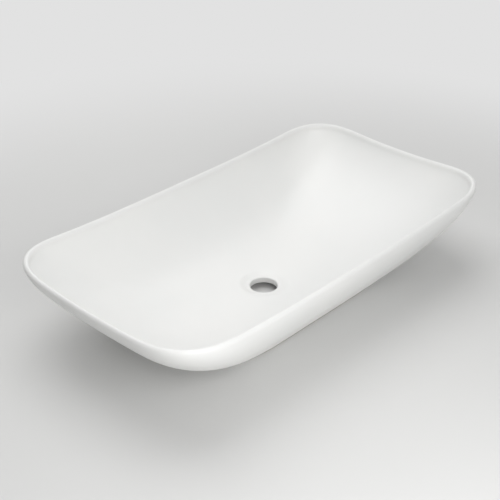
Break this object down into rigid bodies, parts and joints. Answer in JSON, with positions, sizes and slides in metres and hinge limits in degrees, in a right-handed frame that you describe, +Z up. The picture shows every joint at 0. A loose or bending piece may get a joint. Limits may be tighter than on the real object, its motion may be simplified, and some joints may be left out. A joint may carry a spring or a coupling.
{
  "type": "countertop basin",
  "caption": "Rectangular countertop basin in glazed ceramic, a shallow one-piece bowl with a thin wavy rim, a central waste hole and soft pads under its foot.",
  "frame": {"origin": "on the counter, under the middle of the basin", "axes": "+X along the basin's length, +Y across it towards the back, +Z up along the waste hole"},
  "size_m": [0.735, 0.4, 0.1508],
  "materials": {
    "glazed_china": "gloss white glaze",
    "pad_rubber": "clear soft rubber"
  },
  "bodies": {
    "root": {"basin_body": "glazed_china", "foot_pad_back_right": "pad_rubber", "foot_pad_back_left": "pad_rubber", "foot_pad_front_left": "pad_rubber", "foot_pad_front_right": "pad_rubber"}
  },
  "joints": []
}
